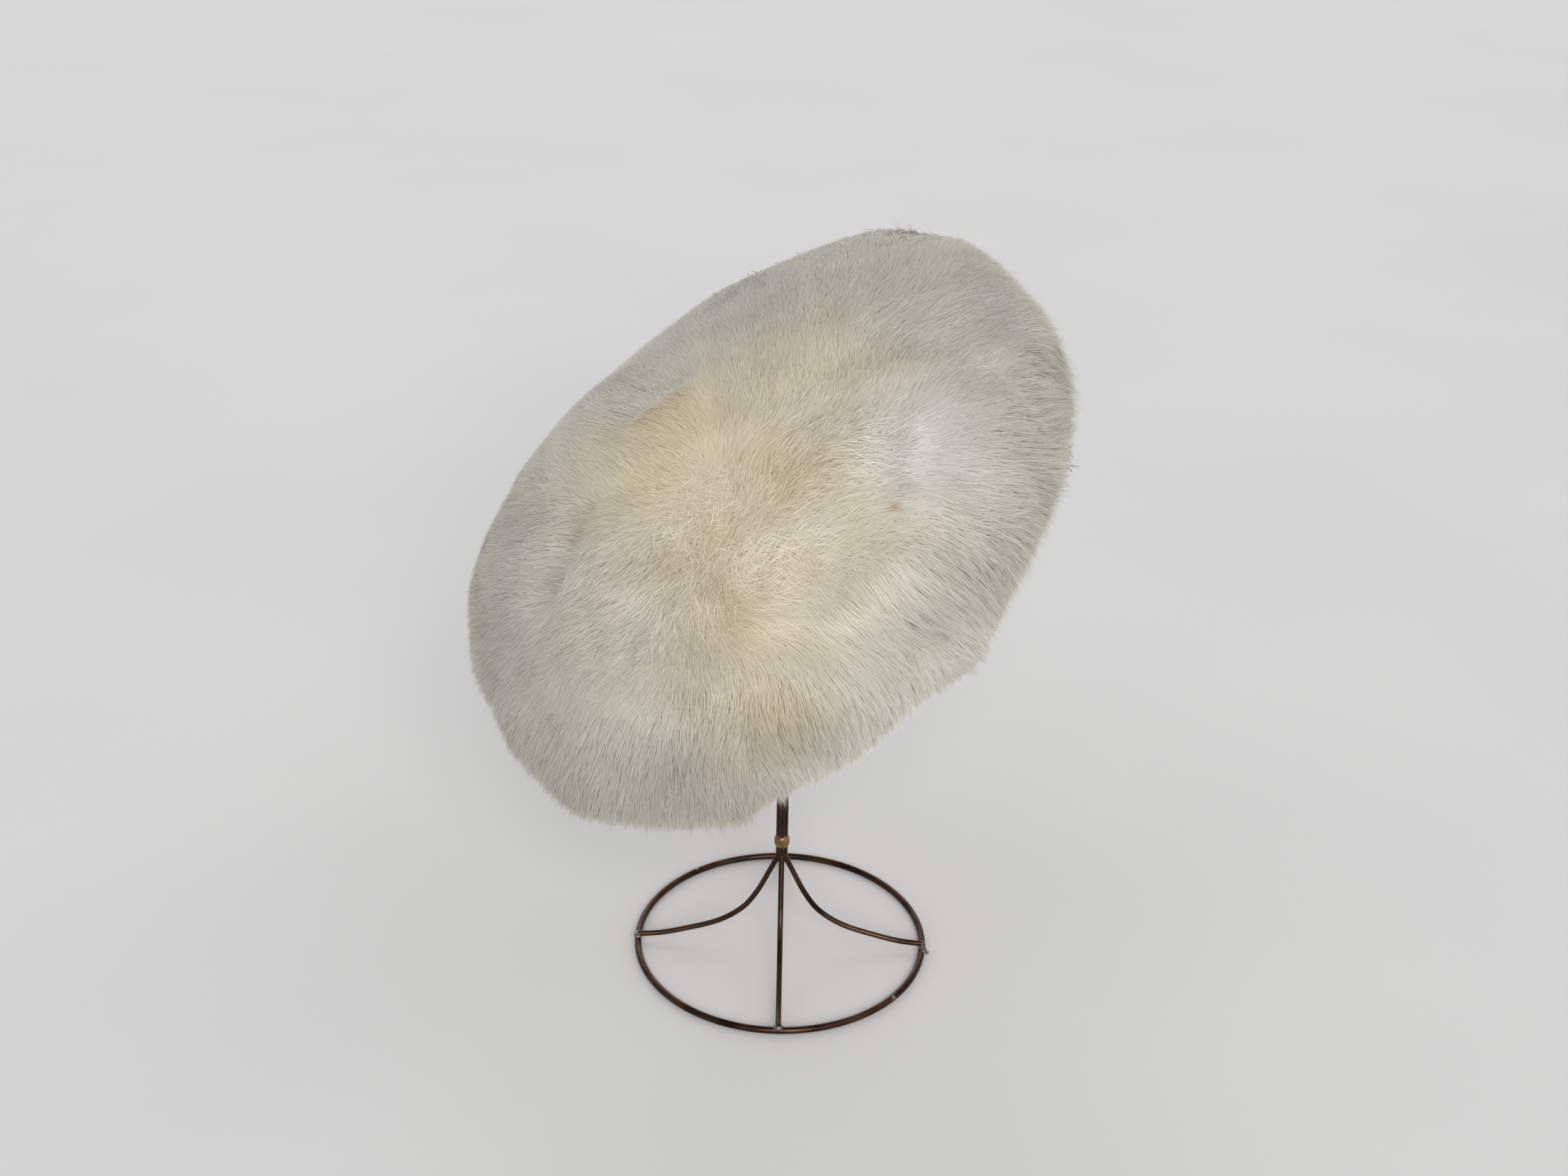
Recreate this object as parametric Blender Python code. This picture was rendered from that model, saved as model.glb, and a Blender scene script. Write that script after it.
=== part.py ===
"""A sheepskin telpek hat, tilted on a plain wire hat stand. Metres, +Z up, the stand's ring on z = 0.

The hat is built in its own frame: its rim's centre at the origin, front to back along X, its crown up +Z.
It is then leaned and seated on the stand's round wire top."""

import math
import random

import bmesh
import bpy
from mathutils import Matrix, Vector

MM = 0.001
GAP = 0.3 * MM  # between pieces that meet

# The pelt: leather walls round an oval head opening
OPENING_LENGTH = 206 * MM
OPENING_WIDTH = 164 * MM
PELT_WALL = 3 * MM
BAND_HEIGHT = 76 * MM
CROWN_RISE = 10 * MM  # from the band's top edge to the flat of the crown, outside
CROWN_FLAT = 0.84  # the flat's share of the crown's half width

# The fleece's outline, over the tips of its locks
FUR_ENDS = 50 * MM  # at the front and the back
FUR_SIDES = 35 * MM
FUR_TOP = 29 * MM
FUR_HANG = 15 * MM  # below the pelt's rim
SEAM_AT = 0.80  # where crown and band part the fleece, as a share of its height
BACK_HANG = 0.5  # how far down its backing goes past the rim, as a share of FUR_HANG

# height: share of the fleece's whole height. reach: share of its half length or half width.
ENVELOPE = (
    # height, reach
    (0.00, 0.78),
    (0.05, 0.86),
    (0.14, 0.93),
    (0.30, 1.00),
    (0.55, 0.99),
    (0.75, 0.94),
    (0.88, 0.79),
    (0.96, 0.57),
    (0.99, 0.35),
    (1.00, 0.14),
)

# Locks of fleece: raised tufts that lean away from the crown's middle
COLUMNS = 48
BAND_ROWS = 9
CROWN_ROWS = 7
BAND_LOCK = 15 * MM
CROWN_LOCK = 9 * MM
LOCK_LEAN = 0.35  # sideways move of a tip for each unit of its length
LOCK_UNEVEN = 0.3

# Where the fleece parts or dips. turn and spread in degrees round the crown, height and span as shares
# of the fleece's height, depth as a share of the local lock's length.
PARTINGS = (
    # turn, height, spread, span, depth
    (44, 0.50, 5, 0.50, 0.8),  # the band's seam
    (92, 0.86, 14, 0.05, 0.9),  # the step at the crown's edge
    (-14, 0.95, 9, 0.05, 0.9),  # the groove across the front of the crown
    (118, 0.62, 6, 0.12, 0.7),  # between two tufts on the side
)

# Where the band's low fur is rubbed short. turn and spread in degrees round the crown, lift as a share of
# FUR_HANG, tuck as a share of the reach, top as the share of the height where it ends.
RUBBED = (
    # turn, spread, lift, tuck, top
    (52, 54, 0.87, 0.05, 0.35),
    (112, 26, 0.27, 0.06, 0.50),
)
RUBBED_LOCK = 0.4  # how much of a lock's length is left at the middle of a rubbed place

# The stand: a ring, four sprung legs, a stem of their four wires, and a top of two crossed hoops
RING_RADIUS = 70 * MM  # to the ring's outside
RING_WIRE = 3.2 * MM
LEG_WIRE = 2.6 * MM
LEG_TURNS = (-5, 90, 182, 270)  # degrees round the stem
SOLDER = 0.4 * MM  # how far soldered wires sink into each other
STEM_HEIGHT = 177 * MM
STEM_SPREAD = 1.5 * MM  # from the stem's axis to each wire's
COLLAR_HEIGHT = 58 * MM
COLLAR_LENGTH = 7 * MM
COLLAR_RADIUS = 3.6 * MM
FERRULE_RADIUS = 4.6 * MM
FERRULE_LENGTH = 6 * MM
HOOP_RADIUS = 40 * MM  # to the wire's middle
SIDES = 8

# out and up: shares of the ring's radius, from the ring to the stem
LEG_PATH = (
    # out, up
    (0.84, 0.066),
    (0.70, 0.092),
    (0.44, 0.165),
    (0.27, 0.27),
    (0.17, 0.40),
    (0.09, 0.56),
)
LEG_JOIN = 0.72  # height at which a leg's wire runs into the stem, as a share of the ring's radius

# How the hat sits: its crown leans by LEAN towards the turn LEAN_TO, and the hat is turned by TURN on it
LEAN = 29
LEAN_TO = 210
TURN = 19
SEAT_X = 1 * MM  # where the hoops touch the inside of the crown
SEAT_Y = 5 * MM

LEATHER = ("pelt_leather", (0.62, 0.50, 0.36), 0.8, 0.0)
CROWN_WOOL = ("crown_wool", (0.80, 0.74, 0.60), 0.9, 0.0)
BAND_WOOL = ("band_wool", (0.84, 0.82, 0.77), 0.9, 0.0)
BRONZE = ("bronzed_wire", (0.13, 0.075, 0.05), 0.35, 1.0)


def clear_scene():
    for old in list(bpy.data.objects):
        bpy.data.objects.remove(old, do_unlink=True)


def material(name, colour, roughness, metallic):
    made = bpy.data.materials.new(name)
    made.use_nodes = True
    shader = made.node_tree.nodes["Principled BSDF"]
    shader.inputs["Base Color"].default_value = (*colour, 1)
    shader.inputs["Roughness"].default_value = roughness
    shader.inputs["Metallic"].default_value = metallic
    return made


def add_object(name, mesh, finish, parent):
    bmesh.ops.recalc_face_normals(mesh, faces=mesh.faces)
    data = bpy.data.meshes.new(name)
    mesh.to_mesh(data)
    mesh.free()
    made = bpy.data.objects.new(name, data)
    data.materials.append(material(name + "_" + finish[0], *finish[1:]))
    bpy.context.scene.collection.objects.link(made)
    made.parent = parent
    return made


def add_empty(name, parent=None):
    made = bpy.data.objects.new(name, None)
    bpy.context.scene.collection.objects.link(made)
    made.parent = parent
    return made


def smooth_path(points, count):
    """count places along a smooth curve through the points, evenly spaced."""
    ends = [2 * points[0] - points[1]] + list(points) + [2 * points[-1] - points[-2]]
    fine = []
    for a, b, c, d in zip(ends, ends[1:], ends[2:], ends[3:]):
        for step in range(16):
            t = step / 16
            fine.append(
                0.5
                * (
                    2 * b
                    + (c - a) * t
                    + (2 * a - 5 * b + 4 * c - d) * t * t
                    + (3 * b - a - 3 * c + d) * t**3
                )
            )
    fine.append(points[-1].copy())
    runs = [0.0]
    for a, b in zip(fine, fine[1:]):
        runs.append(runs[-1] + (b - a).length)
    places, at = [], 0
    for i in range(count):
        want = runs[-1] * i / (count - 1)
        while at < len(runs) - 2 and runs[at + 1] < want:
            at += 1
        share = (want - runs[at]) / max(runs[at + 1] - runs[at], 1e-9)
        places.append(fine[at].lerp(fine[at + 1], share))
    return places


# The pelt


def half_length():
    return OPENING_LENGTH / 2 + PELT_WALL


def half_width():
    return OPENING_WIDTH / 2 + PELT_WALL


def pelt_ring(inset, height):
    """A ring of places at a distance inside the pelt's outer wall."""
    a, b = half_length() - inset, half_width() - inset
    turns = [2 * math.pi * i / COLUMNS for i in range(COLUMNS)]
    return [Vector((a * math.cos(t), b * math.sin(t), height)) for t in turns]


def skin_rings(mesh, rings, closed, raised=0):
    """Bridges each ring of places to the next, and the last to the first if closed. Otherwise the ends
    are drawn to a point each, the last one raised. Returns the faces, row by row."""
    rows = [[mesh.verts.new(p) for p in ring] for ring in rings]
    pairs = list(zip(rows, rows[1:]))
    if closed:
        pairs.append((rows[-1], rows[0]))
    faces = []
    for low, high in pairs:
        n = len(low)
        faces.append([mesh.faces.new((low[i], low[(i + 1) % n], high[(i + 1) % n], high[i])) for i in range(n)])
    if not closed:
        for row, rise in ((rows[0], 0), (rows[-1], raised)):
            middle = sum((v.co for v in row), Vector()) / len(row)
            tip = mesh.verts.new(middle + Vector((0, 0, rise)))
            for i, v in enumerate(row):
                mesh.faces.new((v, row[(i + 1) % len(row)], tip))
    return faces


def make_band_pelt(hat):
    mesh = bmesh.new()
    heights = [BAND_HEIGHT * i / 3 for i in range(4)]
    rings = [pelt_ring(0, z) for z in heights] + [pelt_ring(PELT_WALL, z) for z in reversed(heights)]
    skin_rings(mesh, rings, closed=True)
    return add_object("band_pelt", mesh, LEATHER, hat)


def crown_profile(offset):
    """Inset and height of the crown's bend, from its edge to its flat, at a distance inside its outside."""
    bend = (1 - CROWN_FLAT) * half_width()
    steps = 5
    rows = []
    for i in range(steps):
        t = math.pi / 2 * i / (steps - 1)
        rows.append((bend - (bend - offset) * math.cos(t), BAND_HEIGHT + GAP + (CROWN_RISE - GAP - offset) * math.sin(t)))
    rows.append((0.55 * half_width(), BAND_HEIGHT + CROWN_RISE - offset))
    return rows


def make_crown_pelt(hat):
    mesh = bmesh.new()
    outside = [pelt_ring(*row) for row in crown_profile(0)]
    inside = [pelt_ring(*row) for row in crown_profile(PELT_WALL)]
    skin_rings(mesh, list(reversed(inside)) + outside, closed=False)
    return add_object("crown_pelt", mesh, LEATHER, hat)


# The fleece


def full_height():
    return FUR_HANG + BAND_HEIGHT + CROWN_RISE + FUR_TOP


def envelope(count, low, high):
    """count places in (reach, height) along the outline, from the height share low up to high."""
    size = half_length() + FUR_ENDS
    fine = smooth_path([Vector((reach * size, height * full_height(), 0)) for height, reach in ENVELOPE], 400)
    part = [p for p in fine if low <= p.y / full_height() <= high]
    return [(p.x / size, p.y / full_height()) for p in smooth_path(part[:: max(len(part) // 24, 1)] + [part[-1]], count)]


def rubbed(turn, height):
    """How far rubbing lifts the low fur and tucks it in, and the share of a lock's length that it leaves."""
    lifted, tucked, left = 0.0, 0.0, 1.0
    for at, spread, lift, tuck, top in RUBBED:
        away = (math.degrees(turn) - at + 180) % 360 - 180
        short = math.exp(-(abs(away / spread) ** 3))
        lifted += lift * FUR_HANG * short * max(1 - height / top, 0)
        tucked += tuck * short * max(1 - height / (top + 0.25), 0)
        left -= (1 - RUBBED_LOCK) * lift * short * max(1 - height / top, 0)
    return lifted, tucked, left


def fleece_place(turn, reach, height):
    lifted, tucked, _ = rubbed(turn, height)
    return Vector(
        (
            reach * (1 - tucked) * (half_length() + FUR_ENDS) * math.cos(turn),
            reach * (1 - tucked) * (half_width() + FUR_SIDES) * math.sin(turn),
            height * full_height() - FUR_HANG + lifted,
        )
    )


def parting(turn, height):
    """How far the fleece is parted here, from 0 to 1."""
    most = 0.0
    for at, level, spread, span, depth in PARTINGS:
        away = (math.degrees(turn) - at + 180) % 360 - 180
        most = max(most, depth * math.exp(-((away / spread) ** 2) - ((height - level) / span) ** 2))
    return most


def fleece_rings(profile, lock):
    """Two lists of rings along the profile: the skin between the locks, and where it points."""
    size = Vector((half_length() + FUR_ENDS, full_height(), 0))
    rings, outs, downs = [], [], []
    for k, (reach, height) in enumerate(profile):
        before, after = profile[max(k - 1, 0)], profile[min(k + 1, len(profile) - 1)]
        along = Vector(((after[0] - before[0]) * size.x, (after[1] - before[1]) * size.y, 0)).normalized()
        ring, out, down = [], [], []
        for i in range(COLUMNS):
            turn = 2 * math.pi * i / COLUMNS
            radial = Vector((math.cos(turn) / (half_length() + FUR_ENDS), math.sin(turn) / (half_width() + FUR_SIDES), 0)).normalized()
            normal = radial * along.y + Vector((0, 0, -along.x))
            comb = -(radial * along.x + Vector((0, 0, along.y)))
            deep = lock * rubbed(turn, height)[2] * (1 + parting(turn, height))
            ring.append(fleece_place(turn, reach, height) - normal * deep)
            out.append(normal)
            down.append(comb)
        rings.append(ring)
        outs.append(out)
        downs.append(down)
    return rings, outs, downs


def raise_locks(mesh, rows, outs, downs, profile, lock, uneven):
    """Raises a leaning tuft on each face of the rows."""
    for k, row in enumerate(rows):
        height = (profile[k][1] + profile[k + 1][1]) / 2
        for i, face in enumerate(row):
            turn = 2 * math.pi * (i + 0.5) / COLUMNS
            length = lock * rubbed(turn, height)[2] * (1 - 0.6 * parting(turn, height))
            length *= 1 + uneven.uniform(-LOCK_UNEVEN, LOCK_UNEVEN / 3)
            normal, comb = outs[k][i], downs[k][i]
            middle = face.calc_center_median()
            tip = bmesh.ops.poke(mesh, faces=[face])["verts"][0]
            tip.co = middle + normal * length + comb * length * LOCK_LEAN


def make_band_fleece(hat):
    uneven = random.Random(3)
    profile = envelope(BAND_ROWS + 1, 0.0, SEAM_AT - 0.004)
    rings, outs, downs = fleece_rings(profile, BAND_LOCK)
    back = [pelt_ring(-GAP, z) for z in (BAND_HEIGHT - GAP, BAND_HEIGHT / 2, 0)]
    low_back = pelt_ring(-2 * PELT_WALL / 3, -BACK_HANG * FUR_HANG)
    for i, place in enumerate(low_back):
        place.z += BACK_HANG * rubbed(2 * math.pi * i / COLUMNS, 0)[0]
    back.append(low_back)
    mesh = bmesh.new()
    faces = skin_rings(mesh, rings + back, closed=True)
    raise_locks(mesh, faces[:BAND_ROWS], outs, downs, profile, BAND_LOCK, uneven)
    return add_object("band_fleece", mesh, BAND_WOOL, hat)


def make_crown_fleece(hat):
    uneven = random.Random(8)
    profile = envelope(CROWN_ROWS + 1, SEAM_AT + 0.004, 1.0)
    rings, outs, downs = fleece_rings(profile, CROWN_LOCK)
    back = [pelt_ring(inset - GAP, z + GAP) for inset, z in crown_profile(0)]
    mesh = bmesh.new()
    faces = skin_rings(mesh, list(reversed(back)) + rings, closed=False, raised=CROWN_LOCK)
    raise_locks(mesh, faces[len(back) :], outs, downs, profile, CROWN_LOCK, uneven)
    return add_object("crown_fleece", mesh, CROWN_WOOL, hat)


# The stand


def tube(path, radius, sides=SIDES, closed=False):
    """A wire along the path. Its flat sides lie level where the path does."""
    mesh = bmesh.new()
    rows = []
    count = len(path)
    for i, place in enumerate(path):
        if closed:
            along = path[(i + 1) % count] - path[i - 1]
        else:
            along = path[min(i + 1, count - 1)] - path[max(i - 1, 0)]
        along.normalize()
        across = along.cross(Vector((0, 0, 1)))
        if across.length < 0.05:
            across = Vector((0, 1, 0)).cross(along) if not rows else rows[-1][1].copy()
        across = (across - along * across.dot(along)).normalized()
        if rows and across.dot(rows[-1][1]) < 0:
            across.negate()
        up = across.cross(along)
        turns = [2 * math.pi * (k + 0.5) / sides for k in range(sides)]
        rows.append(([mesh.verts.new(place + radius * (across * math.cos(t) + up * math.sin(t))) for t in turns], across))
    rings = [row[0] for row in rows]
    for low, high in zip(rings, rings[1:] + rings[:1] if closed else rings[1:]):
        for k in range(sides):
            mesh.faces.new((low[k], low[(k + 1) % sides], high[(k + 1) % sides], high[k]))
    if not closed:
        mesh.faces.new(rings[0])
        mesh.faces.new(list(reversed(rings[-1])))
    return mesh


def circle_path(radius, middle, across, up, count):
    turns = [2 * math.pi * i / count for i in range(count)]
    return [middle + radius * (across * math.cos(t) + up * math.sin(t)) for t in turns]


def post(radius, low, high, sides=16):
    mesh = bmesh.new()
    bmesh.ops.create_cone(mesh, cap_ends=True, segments=sides, radius1=radius, radius2=radius, depth=high - low)
    bmesh.ops.translate(mesh, verts=mesh.verts, vec=(0, 0, (low + high) / 2))
    return mesh


def stem_outline(turn):
    """How far the bundle of four wires reaches from the stem's axis."""
    away = (turn + math.pi / 4) % (math.pi / 2) - math.pi / 4
    return STEM_SPREAD * math.cos(away) + math.sqrt((LEG_WIRE / 2) ** 2 - (STEM_SPREAD * math.sin(away)) ** 2)


def stem(low, high):
    mesh = bmesh.new()
    turns = [2 * math.pi * i / 32 for i in range(32)]
    ends = [[mesh.verts.new((stem_outline(t) * math.cos(t), stem_outline(t) * math.sin(t), z)) for t in turns] for z in (low, high)]
    for i in range(len(turns)):
        k = (i + 1) % len(turns)
        mesh.faces.new((ends[0][i], ends[0][k], ends[1][k], ends[1][i]))
    mesh.faces.new(list(reversed(ends[0])))
    mesh.faces.new(ends[1])
    return mesh


def leg_path(turn):
    """From its soldered end on the ring, in to the stem and up it."""
    on_ring = (RING_RADIUS - RING_WIRE / 2, RING_WIRE + LEG_WIRE / 2 - SOLDER)
    rows = [on_ring] + [(out * RING_RADIUS, up * RING_RADIUS) for out, up in LEG_PATH]
    rows.append((STEM_SPREAD, LEG_JOIN * RING_RADIUS))
    away = Vector((math.cos(turn), math.sin(turn), 0))
    return smooth_path([away * out + Vector((0, 0, up)) for out, up in rows], 15)


def fused(name, meshes, finish, parent):
    """One soldered solid from several that run into each other."""
    whole, *others = [add_object(name, mesh, finish, parent) for mesh in meshes]
    for other in others:
        join = whole.modifiers.new("solder", "BOOLEAN")
        join.operation = "UNION"
        join.solver = "EXACT"
        join.object = other
    bpy.context.view_layer.update()
    shape = bpy.data.meshes.new_from_object(whole.evaluated_get(bpy.context.evaluated_depsgraph_get()))
    whole.modifiers.clear()
    whole.data = shape
    for other in others:
        bpy.data.objects.remove(other, do_unlink=True)
    whole.name = name
    return whole


def make_stand_base(stand):
    ring_middle = Vector((0, 0, RING_WIRE / 2 * math.cos(math.pi / SIDES)))
    ring = circle_path(RING_RADIUS - RING_WIRE / 2, ring_middle, Vector((1, 0, 0)), Vector((0, 1, 0)), 48)
    parts = [tube(ring, RING_WIRE / 2, closed=True)]
    parts += [tube(leg_path(math.radians(turn)), LEG_WIRE / 2) for turn in LEG_TURNS]
    parts.append(stem(LEG_JOIN * RING_RADIUS - 4 * LEG_WIRE, STEM_HEIGHT))
    parts.append(post(COLLAR_RADIUS, COLLAR_HEIGHT - COLLAR_LENGTH / 2, COLLAR_HEIGHT + COLLAR_LENGTH / 2))
    return fused("stand_base", parts, BRONZE, stand)


def hoop_middle():
    return Vector((0, 0, STEM_HEIGHT + GAP + FERRULE_LENGTH / 2 + HOOP_RADIUS))


def make_stand_top(stand):
    parts = [post(FERRULE_RADIUS, STEM_HEIGHT + GAP, STEM_HEIGHT + GAP + FERRULE_LENGTH)]
    for turn in (LEAN_TO, LEAN_TO + 90):
        across = Vector((math.cos(math.radians(turn)), math.sin(math.radians(turn)), 0))
        parts.append(hoop(across))
    return fused("stand_top", parts, BRONZE, stand)


def hoop(across):
    mesh = bmesh.new()
    up, side = Vector((0, 0, 1)), across.cross(Vector((0, 0, 1)))
    count, rings = 32, []
    for i in range(count):
        t = 2 * math.pi * (i + 0.5) / count
        out = across * math.cos(t) + up * math.sin(t)
        place = hoop_middle() + out * HOOP_RADIUS
        spins = [2 * math.pi * (k + 0.5) / SIDES for k in range(SIDES)]
        rings.append([mesh.verts.new(place + LEG_WIRE / 2 * (out * math.cos(s) + side * math.sin(s))) for s in spins])
    for low, high in zip(rings, rings[1:] + rings[:1]):
        for k in range(SIDES):
            mesh.faces.new((low[k], low[(k + 1) % SIDES], high[(k + 1) % SIDES], high[k]))
    return mesh


# The whole


def hat_pose():
    """Leans the hat and seats the inside of its crown on the hoops."""
    turn = (
        Matrix.Rotation(math.radians(LEAN_TO), 4, "Z")
        @ Matrix.Rotation(math.radians(LEAN), 4, "Y")
        @ Matrix.Rotation(math.radians(TURN), 4, "Z")
    )
    up = turn.to_3x3() @ Vector((0, 0, 1))
    touch = hoop_middle() + up * (HOOP_RADIUS + LEG_WIRE / 2 + GAP)
    inside = Vector((SEAT_X, SEAT_Y, BAND_HEIGHT + CROWN_RISE - PELT_WALL))
    return Matrix.Translation(touch - turn.to_3x3() @ inside) @ turn


def centre_on_origin(root, pieces):
    """Moves the model so that the middle of its bounding box is over the origin."""
    bpy.context.view_layer.update()
    corners = [piece.matrix_world @ v.co for piece in pieces for v in piece.data.vertices]
    for axis in (0, 1):
        span = [c[axis] for c in corners]
        root.location[axis] = -(min(span) + max(span)) / 2
    bpy.context.view_layer.update()


def main():
    clear_scene()
    root = add_empty("model_origin")
    stand = add_empty("stand_axis", root)
    hat = add_empty("hat_rim", root)
    hat.matrix_local = hat_pose()
    pieces = [make_stand_base(stand), make_stand_top(stand), make_band_pelt(hat), make_crown_pelt(hat), make_band_fleece(hat), make_crown_fleece(hat)]
    centre_on_origin(root, pieces)


main()
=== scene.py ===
"""The looks of a sheepskin telpek hat on its wire hat stand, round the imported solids. Metres, +Z up."""

import math

import bmesh
import bpy
import numpy as np
from mathutils import Matrix, Vector
from mathutils.kdtree import KDTree


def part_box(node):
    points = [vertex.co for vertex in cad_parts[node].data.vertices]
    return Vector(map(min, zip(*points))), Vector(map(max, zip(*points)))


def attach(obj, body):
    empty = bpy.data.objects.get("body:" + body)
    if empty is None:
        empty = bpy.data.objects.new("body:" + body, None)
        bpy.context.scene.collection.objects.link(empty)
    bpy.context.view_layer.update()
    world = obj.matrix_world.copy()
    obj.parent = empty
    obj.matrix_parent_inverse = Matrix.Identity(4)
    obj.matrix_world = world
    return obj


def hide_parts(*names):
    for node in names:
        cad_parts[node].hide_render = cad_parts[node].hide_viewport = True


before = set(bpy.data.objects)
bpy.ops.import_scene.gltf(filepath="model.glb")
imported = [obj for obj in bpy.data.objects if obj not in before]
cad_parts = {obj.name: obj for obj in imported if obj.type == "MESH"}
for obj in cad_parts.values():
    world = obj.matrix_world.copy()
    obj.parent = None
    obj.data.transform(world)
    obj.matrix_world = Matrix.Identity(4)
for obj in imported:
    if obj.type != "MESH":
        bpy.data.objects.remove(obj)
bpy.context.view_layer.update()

MM = 0.001

# The hat's frame, as in the CAD: its rim's centre at the origin, front to back along X, its crown up +Z
LEAN, LEAN_TO, TURN = 29, 210, 19
HALF_LENGTH, HALF_WIDTH = 106 * MM, 85 * MM  # the pelt's, outside
BAND_HEIGHT, CROWN_RISE = 76 * MM, 10 * MM
CROWN_FLAT = 0.84
FUR_ENDS, FUR_SIDES, FUR_TOP, FUR_HANG = 50 * MM, 35 * MM, 29 * MM, 15 * MM
FULL_HEIGHT = FUR_HANG + BAND_HEIGHT + CROWN_RISE + FUR_TOP
REACH_X, REACH_Y = HALF_LENGTH + FUR_ENDS, HALF_WIDTH + FUR_SIDES
SEAM_AT = 0.80
GAP = 0.3 * MM

# The fleece's outline. height: share of the fleece's height. reach: share of its half length or width.
OUTLINE = (
    # height, reach
    (0.00, 0.78),
    (0.05, 0.86),
    (0.14, 0.93),
    (0.30, 1.00),
    (0.55, 0.99),
    (0.75, 0.94),
    (0.88, 0.79),
    (0.96, 0.57),
    (0.99, 0.35),
    (1.00, 0.14),
    (1.005, 0.0),
)

# Where the band's low fur is rubbed short, as in the CAD: turn round the hat and half width in degrees,
# lift as a share of the hang, tuck as a share of the reach, and the height share where it ends
RUBBED = (
    # turn, spread, lift, tuck, top
    (52, 54, 0.87, 0.05, 0.35),
    (112, 26, 0.27, 0.06, 0.50),
)
RUBBED_COAT = 0.5  # the share of its length that is left where it is rubbed most
BACK_LIFT = 0.55  # how far the wool's backing follows the rubbed edge up

# Tufts that hang lower than the rest: turn and half width in degrees, extra length
TUFTS = (
    # turn, spread, extra
    (82, 8, 12 * MM),
    (28, 7, 7 * MM),
    (-4, 7, 6 * MM),
)

# Where the wool parts or stands up, along lines in the hat's frame, in mm. A depth under zero is a rise.
FORMS = (
    # from x, y, z, to x, y, z, width, depth, lean
    ((64, -25, 112), (108, -12, 103), 11, 5.5, 0.50),  # the dent across the front of the crown
    ((-12, -29, 115), (20, -42, 114), 8, 3.2, 0.40),  # the fold behind it
    ((-24, 84, 103), (8, 102, 93), 8, 2.2, 0.35),  # the step at the crown's edge
    ((-30, 108, 90), (20, 112, 74), 20, -1.0, 0.0),  # the tuft below the step
    ((-69, 100, 83), (-72, 105, 56), 6, 5.0, 0.8),  # between two tufts on the side
    ((92, 82, 87), (114, 80, 53), 9, 1.4, 0.30),  # the band's seam
    ((114, 80, 53), (113, 76, 26), 7, 2.4, 0.5),
)

# Where the fur is long and hangs in locks: turn and spread in degrees, height and span as shares
LOCKS = (
    # turn, spread, height, span, strength
    (118, 52, 0.35, 0.42, 1.0),
    (30, 60, 0.05, 0.30, 0.9),
    (-25, 40, 0.25, 0.35, 0.5),
    (200, 70, 0.20, 0.35, 0.7),
)

# Where the combed wool divides, in the hat's frame in mm
DIVIDE = (46, 68, 107)
DIVIDE_RADIUS = 52 * MM
# There it lies this way in the world, with wild hairs among it. Further off it turns down the outline.
ASIDE, ASIDE_PULL = (0.94, 0.0, 0.34), 0.7
WILD, WILD_LOST, DOWNWARD = 0.45, 0.40, 0.45

# Painted light and shade on the wool, with a few places of whiter wool, and yellowed places: centre in the
# hat's frame and radius in mm. Under zero a strength takes away, and in the first table that is painted
# shade.
LIGHT_SHADE_AND_TONE = (
    # x, y, z, radius, strength
    # painted light: the crown's middle, facing the key light, partly its own whiter wool
    (44, 46, 110, 94, 0.66),
    # painted light: patches lifted where raised tufts face the light or the hairs look shaded
    (92, 64, 90, 52, 0.24),
    (40, 106, 86, 32, 0.26),
    (-6, 108, 84, 44, 0.26),
    (-44, 62, 106, 44, 0.24),
    # painted shade in the partings of the dent and the step
    (78, -20, 111, 9, -0.26),
    (98, -15, 107, 9, -0.26),
    (-9, 93, 98, 9, -0.20),
    # painted shade on the underside of the low fur
    (132, 63, 38, 30, -0.16),
    # painted shade on the crown's edge turned from the light
    (-50, -50, 106, 50, -0.10),
    # whiter wool beside the yellowed patch
    (6, -38, 114, 14, 0.14),
    # the sides away from the camera lifted back to the wool's clean white
    (-120, -70, 20, 100, 0.42),
    (10, -115, 20, 90, 0.42),
    (60, 110, 0, 60, 0.26),
    # painted light on the crown's back edge, where the hairs look shaded
    (-138, -10, 91, 16, 0.50),
    (-30, -110, 84, 36, 0.22),
)
YELLOWED = (
    # x, y, z, radius, strength
    (26, -18, 114, 42, 0.54),
    (40, 52, 109, 64, 0.84),
    (-36, 26, 113, 46, 0.24),
    (84, 84, 86, 38, 0.36),
    (110, 90, 60, 30, 0.40),
    (4, -40, 114, 13, -0.40),
    (-14, 98, 92, 26, -0.30),
)
SPECKS = (
    # x, y, z, radius
    (17, 103, 90, 1.6),
)

# Wool. A coat's depth is how far the matted wool lies under the tips.
CROWN_COAT, BAND_COAT, LOCK_COAT, RIM_COAT = 2.6 * MM, 6 * MM, 13 * MM, 15 * MM
ROOT, LONGEST = 2.5 * MM, 29 * MM
COAT_ROUGH, LOCKS_ROUGH, COAT_SINK = 0.3 * MM, 0.4 * MM, 0.5 * MM
CROWN_DEEP_SHADE, BAND_DEEP_SHADE = 0.3, 0.45  # how far the matted wool takes the roots' tint, painted shade under the hairs
CROWN_END, SEAM_OPEN = 0.985, 0.0015  # shares of the outline's run
CROWN_HAIRS, BAND_HAIRS, RIM_HAIRS = 190000, 150000, 16000
CROWN_WIDTH, BAND_WIDTH, RIM_WIDTH = 0.34 * MM, 0.35 * MM, 0.40 * MM
PER_PIECE = 64000
PELT_CLEAR = 1.01

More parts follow.
